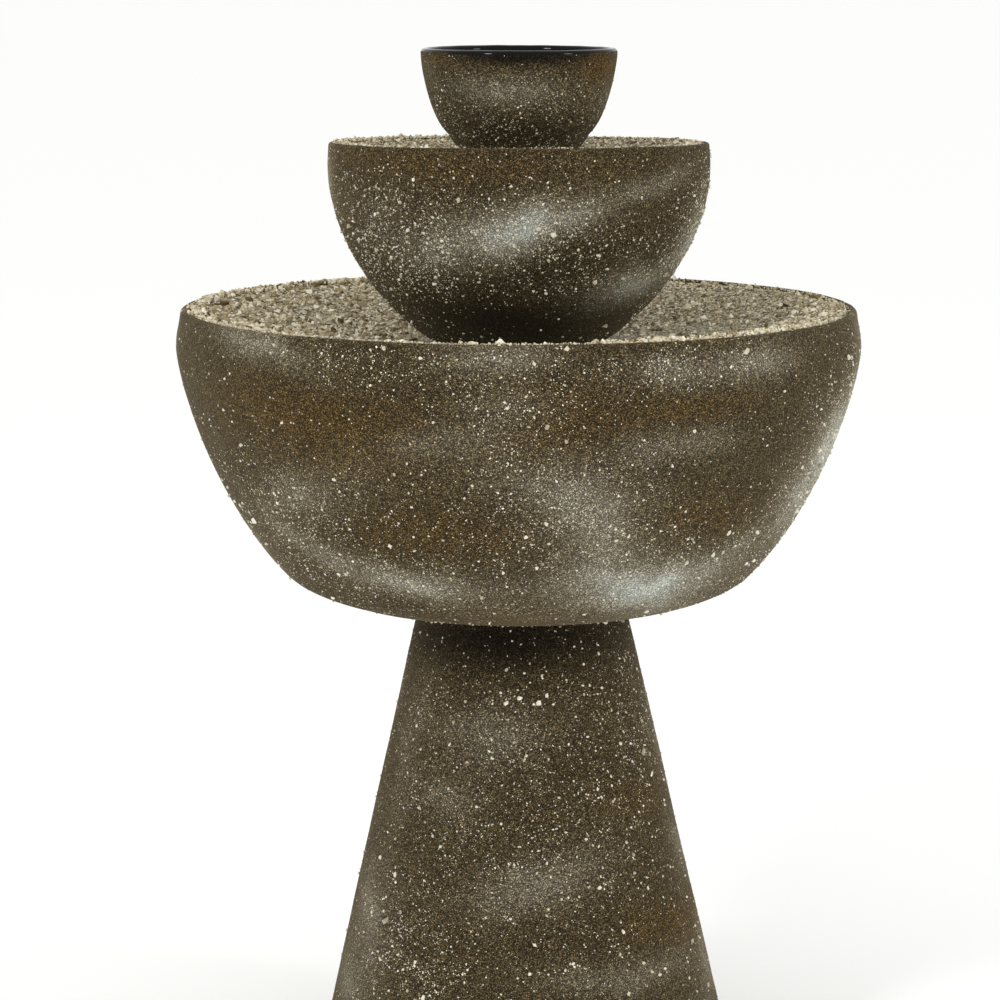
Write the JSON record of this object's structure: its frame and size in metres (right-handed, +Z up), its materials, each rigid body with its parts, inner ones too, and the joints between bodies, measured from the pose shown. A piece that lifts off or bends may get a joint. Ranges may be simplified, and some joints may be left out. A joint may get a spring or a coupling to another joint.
{
  "type": "tabletop water fountain",
  "caption": "Tabletop fountain of stacked bowls on a hollow cone pedestal; a submersible pump lifts water up a riser to the top bowl, and it spills down the tiers.",
  "frame": {"origin": "on the table, on the axis that the bowls and pedestal share", "axes": "+Z up along the bowls' axis; -Y to the front, as the picture sees it; +Y to the back, where the power inlet is; the pump's axis is along Y"},
  "size_m": [0.3, 0.3, 0.4638],
  "materials": {
    "sprayed_stoneware": "cast stoneware under a matt sprayed sand coat",
    "bonded_grit": "coarse mineral grit bonded on a cast shell",
    "black_glaze": "black glaze inside and on the lip, matt sprayed sand coat outside",
    "rubber": "moulded",
    "black_plastic": "moulded",
    "white_plastic": "moulded",
    "white_ceramic": "polished",
    "magnet": "coated ferrite",
    "steel": "satin stainless",
    "brass": "turned",
    "clear_tube": "flexible clear vinyl"
  },
  "bodies": {
    "base": {"bowl_screw_1": "steel", "bowl_screw_2": "steel", "bowl_screw_3": "steel", "front_bush": "rubber", "gland_body": "black_plastic", "gland_cap": "black_plastic", "gland_nut": "black_plastic", "gland_seal": "rubber", "gland_washer": "rubber", "inlet_nut": "steel", "inlet_socket": "black_plastic", "intake_grille": "black_plastic", "lead_relief": "rubber", "lower_bowl": "sprayed_stoneware", "motor_housing": "black_plastic", "pad_1": "rubber", "pad_2": "rubber", "pad_3": "rubber", "pad_4": "rubber", "pedestal": "sprayed_stoneware", "pump_lead": "black_plastic", "rear_bush": "rubber", "riser_tube": "clear_tube", "rotor_shaft": "white_ceramic", "screw_nut_1": "steel", "screw_nut_2": "steel", "screw_nut_3": "steel", "screw_seal_1": "rubber", "screw_seal_2": "rubber", "screw_seal_3": "rubber", "seat_gasket": "rubber", "suction_cup_1": "rubber", "suction_cup_2": "rubber", "suction_cup_3": "rubber", "suction_cup_4": "rubber", "volute_housing": "black_plastic", "volute_ring": "rubber"},
    "rotor": {"rotor_magnet": "magnet", "impeller": "white_plastic"},
    "dial": {"flow_dial": "white_plastic"},
    "lower_deck": {"lower_deck": "bonded_grit"},
    "grate": {"drain_grate": "steel"},
    "middle_bowl": {"middle_bowl": "sprayed_stoneware", "middle_foot_ring": "rubber", "riser_grommet": "rubber"},
    "middle_deck": {"middle_deck": "bonded_grit"},
    "top_bowl": {"top_bowl": "black_glaze", "top_foot_ring": "rubber", "top_fitting": "brass", "fitting_washer": "rubber", "fitting_nut": "brass"}
  },
  "joints": [
    {"name": "impeller_spin", "type": "hinge", "parent": "base", "child": "rotor", "pos_m": [0, 0, 0.2559], "axis": [0, 1, 0], "continuous": true},
    {"name": "flow_dial_turn", "type": "hinge", "parent": "base", "child": "dial", "pos_m": [0, -0.016, 0.2559], "axis": [0, -1, 0], "range_deg": [0, 90]},
    {"name": "lower_deck_lift", "type": "slide", "parent": "base", "child": "lower_deck", "axis": [0, 0, 1], "range_m": [0, 0.12]},
    {"name": "grate_lift", "type": "slide", "parent": "lower_deck", "child": "grate", "axis": [0, 0, 1], "range_m": [0, 0.1]},
    {"name": "middle_bowl_lift", "type": "slide", "parent": "grate", "child": "middle_bowl", "axis": [0, 0, 1], "range_m": [0, 0.1]},
    {"name": "middle_deck_lift", "type": "slide", "parent": "middle_bowl", "child": "middle_deck", "axis": [0, 0, 1], "range_m": [0, 0.06]},
    {"name": "top_bowl_lift", "type": "slide", "parent": "middle_deck", "child": "top_bowl", "axis": [0, 0, 1], "range_m": [0, 0.06]}
  ]
}
